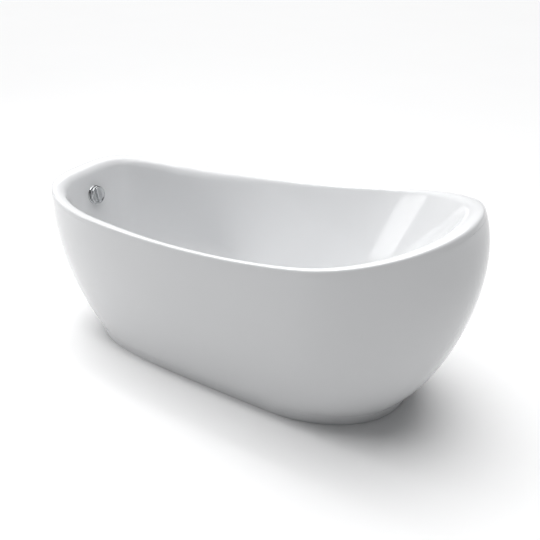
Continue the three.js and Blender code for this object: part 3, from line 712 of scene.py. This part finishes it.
for name, node, inner, outer, low, high in (("dish_gasket", "drain_top_gasket", 27, 36, 0.15, 1.8),
                                            ("laminate_gasket", "drain_under_gasket", 28, 41, -9.7, -6.15)):
    ring = turned(name, [[(inner, low), (outer, low), (outer, high), (inner, high)]], DRAIN, rubber)
    fitted(ring, node)

# ---- Waste body ----
# Moulded in grey plastic, screwed on the flange's throat under the floor. The hose comes into its
# side, and the tailpiece hangs from its foot on a ribbed nut, down to the house's drain.

WASTE_OUT, WASTE_BRIM, WASTE_LOW = 32, 42, -52
SPIGOT_RADIUS, SPIGOT_BORE, SPIGOT_HEIGHT, SPIGOT_END = 12, 9, -32, 56
TAIL_OUT, TAIL_IN, TAIL_LOW = 20, 17, -100
NUT_RIBS, RIB_SHARE = 16, 0.03


def grey_plastic():
    finish = Finish("grey_plastic", IOR=1.5)
    flow = finish.noise(9, 4)
    finish.feed("Base Color", finish.mix(flow, colour(0.14, 0.15, 0.155), colour(0.18, 0.19, 0.195)))
    finish.feed("Roughness", finish.noise(150, 3) * 0.2 + 0.35)
    finish.bump(finish.noise(1100, 2), 0.00005)
    return finish


plastic = grey_plastic()


def ribbed_nut(name, bore, outer, low, high, finish):
    """A nut with finger ribs round it."""
    outline = [(bore, low), (outer - 1, low), (outer, low + 1.5), (outer, high - 1.5), (outer - 1, high),
               (bore, high)]
    nut = turned(name, [outline], Matrix(), finish, sides=128, edge=0)
    shape = bmesh.new()
    shape.from_mesh(nut.data)
    for vertex in shape.verts:
        if vertex.co.xy.length > (outer - 0.5) * MM:
            angle = math.atan2(vertex.co.y, vertex.co.x)
            vertex.co.xy *= 1 - RIB_SHARE * (0.5 - 0.5 * math.cos(NUT_RIBS * angle))
    shape.to_mesh(nut.data)
    shape.free()
    return nut


def spigot(name, start, end, height, turn):
    """A stub of pipe that stands out sideways from a body, its end eased for the hose."""
    outline = [(SPIGOT_BORE, start), (SPIGOT_RADIUS, start), (SPIGOT_RADIUS, end - 1),
               (SPIGOT_RADIUS - 1, end), (SPIGOT_BORE, end)]
    return turned(name, [outline], Matrix.Translation((0, 0, height * MM)) @ turn, plastic, sides=48, edge=0)


BRIM_LOW, BRIM_TOP, WASTE_FLOOR = -15, -10, WASTE_LOW + 4
shoe_bore, shoe_outlet = THROAT_OUT + 0.5, TAIL_OUT + FITTING
shoe_outline = [(shoe_outlet, WASTE_LOW), (WASTE_OUT, WASTE_LOW), (WASTE_OUT, BRIM_LOW),
                (WASTE_BRIM, BRIM_LOW), (WASTE_BRIM, BRIM_TOP), (shoe_bore, BRIM_TOP),
                (shoe_bore, WASTE_FLOOR), (shoe_outlet, WASTE_FLOOR)]
TO_THE_BACK = Matrix.Rotation(-math.pi / 2, 4, "Y")
waste = turned("waste_shoe", [shoe_outline], Matrix(), plastic, sides=80)
side_spigot = spigot("side_spigot", WASTE_OUT - 3, SPIGOT_END, SPIGOT_HEIGHT, TO_THE_BACK)
fuse(waste, side_spigot)
waste.data.transform(DRAIN)
fitted(waste, "waste_body")

TAIL_TOP, TAIL_NUT_OUT, TAIL_NUT_LOW = WASTE_LOW + 3.4, 28, WASTE_LOW - 14
tail = turned("waste_tailpiece", [[(TAIL_IN, TAIL_LOW), (TAIL_OUT, TAIL_LOW), (TAIL_OUT, TAIL_TOP),
                                   (TAIL_IN, TAIL_TOP)]], DRAIN, plastic)
fitted(tail, "tailpiece")
tail_nut = ribbed_nut("ribbed_tail_nut", TAIL_OUT + SLIDING, TAIL_NUT_OUT, TAIL_NUT_LOW, WASTE_LOW - FITTING,
                      plastic)
tail_nut.data.transform(DRAIN)
fitted(tail_nut, "tailpiece_nut")

# ---- Overflow bezel ----
# A chromed brass ring that screws into the overflow body through the hole in the end wall and
# clamps the wall between them. The knob turns in front of it and leaves a slot for the water.

BEZEL_BORE, BEZEL_THROAT, BEZEL_OUT = 22, 25, 41
SPINDLE_RADIUS = 4

BEZEL_BACK, BEZEL_SEAT, BEZEL_FRONT = -26, 0.6, 5
bezel_outline = [(BEZEL_BORE, BEZEL_BACK), (BEZEL_THROAT, BEZEL_BACK), (BEZEL_THROAT, BEZEL_SEAT),
                 (BEZEL_OUT, BEZEL_SEAT), (BEZEL_OUT, 2.4), (BEZEL_OUT - 1, BEZEL_FRONT - 1),
                 (BEZEL_OUT - 3, BEZEL_FRONT), (BEZEL_BORE + 3, BEZEL_FRONT), (BEZEL_BORE, BEZEL_FRONT - 2)]
bezel = turned("chrome_bezel", [bezel_outline], OVERFLOW_SEAT, chrome, sides=96)
fitted(bezel, "overflow_bezel")

# ---- Overflow knob ----
# A round chromed cap with a broad grip bar across its face. A quarter turn works the plug through
# the spindle behind it.

KNOB_OUTLINE = [(0, 8), (33, 8), (35.8, 8.4), (37.4, 9.5), (38, 11), (38, 18), (37.7, 19), (37, 20),
                (35.6, 20.8), (34, 21), (32, 20.5), (30, 19.6), (16, 18.7), (0, 18.4)]
BAR_HALF_LENGTH, BAR_NARROW, BAR_WIDE, BAR_LOW, BAR_TOP = 33, 7, 9, 14, 26
SOCKET_DEPTH = 14
knob = turned("rotary_knob", [KNOB_OUTLINE], Matrix(), chrome, sides=96, edge=0)


def grip_bar():
    """Tapered along its length, and rounded over along its top edges."""
    bar = block("grip_bar", (-BAR_NARROW, -BAR_HALF_LENGTH, BAR_LOW), (BAR_NARROW, BAR_HALF_LENGTH, BAR_TOP))
    shape = bmesh.new()
    shape.from_mesh(bar.data)
    for vertex in shape.verts:
        if vertex.co.y > 0:
            vertex.co.x *= BAR_WIDE / BAR_NARROW
    raised = [edge for edge in shape.edges if any(v.co.z > (BAR_LOW + 1) * MM for v in edge.verts)]
    bmesh.ops.bevel(shape, geom=raised, offset=3 * MM, segments=5, profile=0.5, affect="EDGES", material=-1)
    shape.to_mesh(bar.data)
    shape.free()
    bar.data.materials.append(chrome.material)
    return bar


fuse(knob, grip_bar())
socket = bmesh.new()
socket_radius = (SPINDLE_RADIUS + SLIDING) * MM
bmesh.ops.create_cone(socket, cap_ends=True, segments=32, radius1=socket_radius, radius2=socket_radius,
                      depth=SOCKET_DEPTH * MM, matrix=Matrix.Translation((0, 0, SOCKET_DEPTH / 2 * MM)))
cut_away(knob, as_piece("spindle_socket", socket))
knob.data.transform(OVERFLOW_SEAT)
fitted(knob, "overflow_knob", "overflow_control")

# ---- Spindle and lever ----
# A steel spindle goes from the knob through the overflow body, and a pressed lever on its end pulls
# the control cable.

LEVER_REACH, LEVER_LOW, LEVER_TOP = 19, -51, -47

SPINDLE_LOW, SPINDLE_TOP, SPINDLE_CHAMFER = LEVER_LOW - 2, 13.6, 0.6
LEVER_HUB, LEVER_HALF = 8, 4
spindle_end = SPINDLE_RADIUS - SPINDLE_CHAMFER
spindle_outline = [(0, SPINDLE_LOW), (spindle_end, SPINDLE_LOW),
                   (SPINDLE_RADIUS, SPINDLE_LOW + SPINDLE_CHAMFER),
                   (SPINDLE_RADIUS, SPINDLE_TOP - SPINDLE_CHAMFER),
                   (spindle_end, SPINDLE_TOP), (0, SPINDLE_TOP)]
spindle = turned("steel_spindle", [spindle_outline], OVERFLOW_SEAT, zinc, sides=48, edge=0)
fitted(spindle, "overflow_spindle", "overflow_control")

spindle_hole = SPINDLE_RADIUS + SLIDING
lever = turned("pressed_lever", [[(spindle_hole, LEVER_LOW), (LEVER_HUB, LEVER_LOW), (LEVER_HUB, LEVER_TOP),
                                  (spindle_hole, LEVER_TOP)]], Matrix(), zinc, sides=48)
arm = block("arm", (LEVER_HUB - 2, -LEVER_HALF, LEVER_LOW), (LEVER_REACH, LEVER_HALF, LEVER_TOP))
arm.data.materials.append(zinc.material)
ease(arm, 0.0008)
fuse(lever, arm)
lever.data.transform(OVERFLOW_SEAT)
fitted(lever, "cable_lever", "overflow_control")

# ---- Overflow body ----
# A grey plastic cup behind the wall with a rubber ring between. Its spout points down into the hose.

CUP_OUT, CUP_IN, CUP_BACK, CUP_FLOOR, CUP_FRONT = 35, 30, -45, -41, -9.8
SPOUT_HEIGHT, SPOUT_END = -30, 62

wall_ring = turned("wall_gasket", [[(27, -9.4), (35, -9.4), (35, -6.6), (27, -6.6)]], OVERFLOW_SEAT, rubber)
fitted(wall_ring, "overflow_gasket")
DOWNWARDS = Matrix.Rotation(math.pi / 2, 4, "X")
cup_outline = [(spindle_hole, CUP_BACK), (CUP_OUT - 2, CUP_BACK), (CUP_OUT, CUP_BACK + 2),
               (CUP_OUT, CUP_FRONT), (CUP_IN, CUP_FRONT), (CUP_IN, CUP_FLOOR), (spindle_hole, CUP_FLOOR)]
cup = turned("overflow_cup", [cup_outline], Matrix(), plastic, sides=80)
spout = spigot("spout", CUP_IN + 1, SPOUT_END, SPOUT_HEIGHT, DOWNWARDS)
fuse(cup, spout)
cup.data.transform(OVERFLOW_SEAT)
fitted(cup, "overflow_body")

# ---- Overflow hose ----
# Corrugated white PVC that runs down between the two skins and under the heel of the basin. It is
# pushed over a spigot at each end and held there by a plastic nut.

HOSE_OUT, HOSE_GROOVE, HOSE_WALL = 15, 13.9, 0.0009
CORRUGATION = 5.0
HOSE_CUFF, HOSE_STEPS, HOSE_SIDES = 22, 760, 40
HOSE_NUT_BORE, HOSE_NUT_OUT = HOSE_OUT + 1.2, 20.5
CURVE_STEPS = 40
BEHIND_WALL = ((-797, 340), (-788, 298), (-777, 250), (-756, 200), (-715, 150), (-668, 110), (-610, 86))
SPIGOT_Z = (FLOOR_AT_DRAIN - DISH_DEPTH) / MM + SPIGOT_HEIGHT
DRAIN_MM = DRAIN_X / MM


def behind(side, height, depth):
    """A place on the overflow's own axes, in millimetres from the middle of the rim."""
    place = TO_MIDDLE.inverted() @ OVERFLOW_SEAT @ (Vector((side, height, depth)) * MM)
    return tuple(place / MM)


def smooth_path(stops, steps):
    """Even steps along a curve through all the stops, and its length."""
    stops = [Vector(stop) for stop in stops]
    ends = [2 * stops[0] - stops[1]] + stops + [2 * stops[-1] - stops[-2]]
    fine = []
    for before, start, end, after in zip(ends, ends[1:], ends[2:], ends[3:]):
        leave, arrive = start + (end - before) / 6, end - (after - start) / 6
        fine += interpolate_bezier(start, leave, arrive, end, CURVE_STEPS)[:-1]
    fine.append(stops[-1])
    lengths = [0.0]
    for first, second in zip(fine, fine[1:]):
        lengths.append(lengths[-1] + (second - first).length)
    path, i = [], 0
    for step in range(steps + 1):
        wanted = lengths[-1] * step / steps
        while i < len(fine) - 2 and lengths[i + 1] < wanted:
            i += 1
        share = (wanted - lengths[i]) / (lengths[i + 1] - lengths[i])
        path.append(fine[i].lerp(fine[i + 1], share))
    return path, lengths[-1]


def hose_rings(path, radius_at, sides):
    """Circles square to a path, each turned no more than the path itself turns."""
    rings, across = [], None
    for i, spot in enumerate(path):
        ahead = (path[min(i + 1, len(path) - 1)] - path[max(i - 1, 0)]).normalized()
        across = across or Vector((0, 1, 0))
        across = (across - ahead * across.dot(ahead)).normalized()
        other = ahead.cross(across)
        turns = [2 * math.pi * j / sides for j in range(sides)]
        spokes = [across * math.cos(turn) + other * math.sin(turn) for turn in turns]
        rings.append([(spot + spoke * radius_at(i)) * MM for spoke in spokes])
    return rings


def white_pvc():
    finish = Finish("white_pvc", IOR=1.53)
    age = finish.noise(7, 4)
    finish.feed("Base Color", finish.mix(age, colour(0.72, 0.72, 0.69), colour(0.80, 0.80, 0.78)))
    finish.feed("Roughness", finish.noise(60, 3) * 0.15 + 0.3)
    finish.bump(finish.noise(400, 2), 0.00008)
    return finish


pvc = white_pvc()
HOSE_STOPS = (behind(0, -44, SPOUT_HEIGHT), behind(0, -92, SPOUT_HEIGHT),
              *((x, 0, z) for x, z in BEHIND_WALL),
              (DRAIN_MM - 100, 0, SPIGOT_Z), (DRAIN_MM - 36, 0, SPIGOT_Z))
hose_path, hose_length = smooth_path(HOSE_STOPS, HOSE_STEPS)


def corrugated(i):
    """The hose's radius: ribs all along, and a plain cuff at each end."""
    along = hose_length * i / HOSE_STEPS
    if along < HOSE_CUFF or along > hose_length - HOSE_CUFF:
        return HOSE_OUT
    return between(HOSE_GROOVE, HOSE_OUT, 0.5 + 0.5 * math.cos(2 * math.pi * along / CORRUGATION))


hose = loft("corrugated_hose", hose_rings(hose_path, corrugated, HOSE_SIDES), TO_MIDDLE)
hose.data.materials.append(pvc.material)
thicken(hose, HOSE_WALL)
fitted(hose, "overflow_hose")

top_nut = ribbed_nut("hose_nut_by_cup", HOSE_NUT_BORE, HOSE_NUT_OUT, 48, SPOUT_END, plastic)
top_nut.data.transform(OVERFLOW_SEAT @ Matrix.Translation((0, 0, SPOUT_HEIGHT * MM)) @ DOWNWARDS)
fitted(top_nut, "hose_nut_top")
low_nut = ribbed_nut("hose_nut_by_shoe", HOSE_NUT_BORE, HOSE_NUT_OUT, 43, SPIGOT_END, plastic)
low_nut.data.transform(TO_MIDDLE @ Matrix.Translation((DRAIN_X, 0, SPIGOT_Z * MM)) @ TO_THE_BACK)
fitted(low_nut, "hose_nut_low")

# ---- Control cable ----
# A steel inner in a black sheath, from the lever beside the cup down along the hose to the pin
# under the plug.

CABLE_RADIUS, CABLE_WALL = 3, 0.0008
CABLE_STEPS, CABLE_SIDES = 200, 16
CABLE_STOPS = (behind(LEVER_REACH, -16, LEVER_LOW + 1), behind(LEVER_REACH + 8, -50, LEVER_LOW + 2),
               *((x, min(30 + 3 * i, 40), z) for i, (x, z) in enumerate(BEHIND_WALL)),
               (DRAIN_MM - 100, 40, SPIGOT_Z - 8), (DRAIN_MM - 45, 43, SPIGOT_Z - 12),
               (DRAIN_MM - 12, 34, SPIGOT_Z - 14))
cable_path = smooth_path(CABLE_STOPS, CABLE_STEPS)[0]
cable = loft("cable_sheath", hose_rings(cable_path, lambda i: CABLE_RADIUS, CABLE_SIDES), TO_MIDDLE)
cable.data.materials.append(rubber.material)
thicken(cable, CABLE_WALL)
fitted(cable, "control_cable")

# ---- Outer skirt ----
# The second skin, drawn from the same acrylic and backed in the same way. It stands on a low plinth
# that turns in slightly at the floor, and its top edge steps in to slide up behind the rim's lip.

SKIRT_WALL = 0.005
PLINTH_INSET = 0.003
SEAM = 0.0003
STEP_INSET = 0.0076
STEP_LOW, STEP_HIGH = -0.006, 0.007
PLINTH_EDGE = ((0, PLINTH_INSET), (0.007, 0.0021), (0.014, 0.0013), (0.021, 0.0006), (0.0285, 0))
SKIRT_STEPS = 40


def plinth_ring(height, inset):
    shrink = 1 - inset / PLINTH_PLAN["half"]
    ring = [egg(angle, PLINTH_PLAN) * shrink for angle in ANGLES]
    for place in ring:
        place.z = height
    return ring


def stepped_ring(rise):
    inside = []
    for angle in ANGLES:
        skin = skin_below(angle, LIP_FACE + SEAM - rise)
        inside.append(skin - rim_normal(angle) * STEP_INSET)
    return inside


def skirt_rings():
    rings = [plinth_ring(height, inset) for height, inset in PLINTH_EDGE]
    tops = [step_below(angle, LIP_FACE + SEAM) for angle in ANGLES]
    for i in range(SKIRT_STEPS + 1):
        rings.append([outer_skin(angle, top * i / SKIRT_STEPS) for angle, top in zip(ANGLES, tops)])
    return rings + [stepped_ring(STEP_LOW), stepped_ring(STEP_HIGH)]


skirt = loft("outer_skirt_shell", skirt_rings(), TO_MIDDLE)
for finish in (acrylic, laminate):
    skirt.data.materials.append(finish.material)
thicken(skirt, SKIRT_WALL)
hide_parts("outer_skirt")
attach(skirt, "tub")

# ---- Rim bead ----
# White polyurethane adhesive, gunned along the skirt's top edge before the basin was let down on
# it. It holds the two skins together under the lip and stays a little rubbery.


def white_adhesive():
    finish = Finish("white_adhesive", IOR=1.45)
    smear = finish.noise(60, 5)
    finish.feed("Base Color", finish.mix(smear, colour(0.66, 0.65, 0.60), colour(0.80, 0.79, 0.75)))
    finish.feed("Roughness", smear * 0.3 + 0.4)
    finish.bump(smear + finish.noise(240) * 0.4, 0.0008)
    return finish


dress(white_adhesive(), "rim_bond_bead")

# ---- Studio ----
# A wide pale floor under a soft skylight from behind the tub. Two strips overhead light the
# inside, a box at the left lights the drain end, and the dim surround leaves the near side in shade.


def pale_paint():
    finish = Finish("pale_floor_paint")
    shade = finish.noise(0.8)
    finish.feed("Base Color", finish.mix(shade, colour(0.90, 0.90, 0.90), colour(0.92, 0.92, 0.92)))
    finish.feed("Roughness", finish.noise(30) * 0.1 + 0.6)
    return finish


FLOOR_REACH = 30
ground = bmesh.new()
bmesh.ops.create_circle(ground, cap_ends=True, segments=96, radius=FLOOR_REACH)
studio_floor = as_piece("studio_floor", ground)
studio_floor.data.materials.append(pale_paint().material)


def lamp(name, kind, place, aim, power, **settings):
    light = bpy.data.lights.new(name, kind)
    light.energy = power
    for setting, value in settings.items():
        setattr(light, setting, value)
    made = bpy.data.objects.new(name, light)
    made.location = place
    made.rotation_euler = (Vector(aim) - Vector(place)).to_track_quat("-Z", "Y").to_euler()
    bpy.context.scene.collection.objects.link(made)


lamp("skylight", "SUN", (-1.0, 1.3, 4.0), (0, 0, 0), 3.1, angle=math.radians(65))
for side, power in ((-0.45, 8), (0.0, 5.5)):
    lamp("overhead_strip", "AREA", (-0.1, side, 2.0), (-0.1, 0.2, 0.3), power,
         shape="RECTANGLE", size=2.2, size_y=0.14)
lamp("left_box", "AREA", (-3.2, -1.0, 1.4), (-0.5, 0, 0.4), 26,
     shape="RECTANGLE", size=1.5, size_y=1.5)

surround = bpy.data.worlds.new("surround")
surround.use_nodes = True
surround.node_tree.nodes["Background"].inputs["Color"].default_value = colour(0.97, 0.98, 1.0)
surround.node_tree.nodes["Background"].inputs["Strength"].default_value = 0.16
bpy.context.scene.world = surround
bpy.context.scene.view_settings.view_transform = "Standard"

# ---- Camera ----
# It looks down from the near side and past the head end, at the middle of the tub.

CAMERA_TURN, CAMERA_RISE = math.radians(32.764), math.radians(30.202)
CAMERA_REACH = 2.4891
EYE_PIVOT = Vector((0, 0, 0.330))
AIM_SHIFT, AIM_HEIGHT = 0.0905, 0.3464
SENSOR, LENS = 36, 41.785

backwards = Vector((math.sin(CAMERA_TURN) * math.cos(CAMERA_RISE),
                    -math.cos(CAMERA_TURN) * math.cos(CAMERA_RISE), math.sin(CAMERA_RISE)))
eye = TO_MIDDLE @ (EYE_PIVOT + backwards * CAMERA_REACH)
aim = TO_MIDDLE @ Vector((AIM_SHIFT * math.cos(CAMERA_TURN), AIM_SHIFT * math.sin(CAMERA_TURN), AIM_HEIGHT))
camera_data = bpy.data.cameras.new("camera")
camera_data.sensor_width, camera_data.lens = SENSOR, LENS
camera = bpy.data.objects.new("camera", camera_data)
camera.location = eye
camera.rotation_euler = (aim - eye).to_track_quat("-Z", "Y").to_euler()
bpy.context.scene.collection.objects.link(camera)
bpy.context.scene.camera = camera
